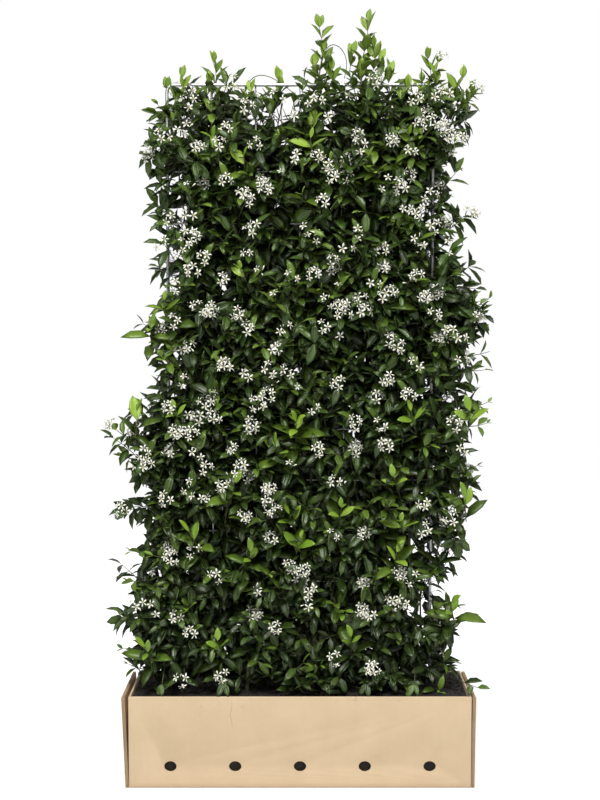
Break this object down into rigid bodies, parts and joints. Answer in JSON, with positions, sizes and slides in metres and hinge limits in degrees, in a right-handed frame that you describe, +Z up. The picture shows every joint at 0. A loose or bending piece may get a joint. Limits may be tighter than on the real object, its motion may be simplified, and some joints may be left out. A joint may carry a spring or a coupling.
{
  "type": "potted climbing plant screen",
  "caption": "Star jasmine hedge screen in flower, grown through a galvanised wire hoop frame and rooted in a long corrugated cardboard planter.",
  "frame": {"origin": "middle of the planter's underside", "axes": "+Z up, +X along the planter to the right seen from the front, front of the screen faces -Y"},
  "size_m": [1.1555, 0.3383, 2.2365],
  "materials": {
    "cardboard": "matte",
    "cardboard_end": "matte",
    "compost": "matte",
    "galvanised_wire": "satin",
    "leaves": "satin",
    "petals": "matte"
  },
  "bodies": {
    "root": {"planter_tray": "cardboard", "planter_end_left": "cardboard_end", "planter_end_right": "cardboard_end", "soil": "compost", "wire_frame": "galvanised_wire", "plant_1": "leaves", "plant_2": "leaves", "plant_3": "leaves", "plant_4": "leaves", "flowers_01": "petals", "flowers_02": "petals", "flowers_03": "petals", "flowers_04": "petals", "flowers_05": "petals", "flowers_06": "petals", "flowers_07": "petals", "flowers_08": "petals", "flowers_09": "petals", "flowers_10": "petals", "flowers_11": "petals", "flowers_12": "petals", "flowers_13": "petals", "flowers_14": "petals", "flowers_15": "petals", "flowers_16": "petals", "flowers_17": "petals", "flowers_18": "petals", "flowers_19": "petals", "flowers_20": "petals", "flowers_21": "petals", "flowers_22": "petals", "flowers_23": "petals", "flowers_24": "petals", "flowers_25": "petals", "flowers_26": "petals", "flowers_27": "petals", "flowers_28": "petals", "flowers_29": "petals", "flowers_30": "petals", "flowers_31": "petals", "flowers_32": "petals", "flowers_33": "petals", "flowers_34": "petals"}
  },
  "joints": []
}
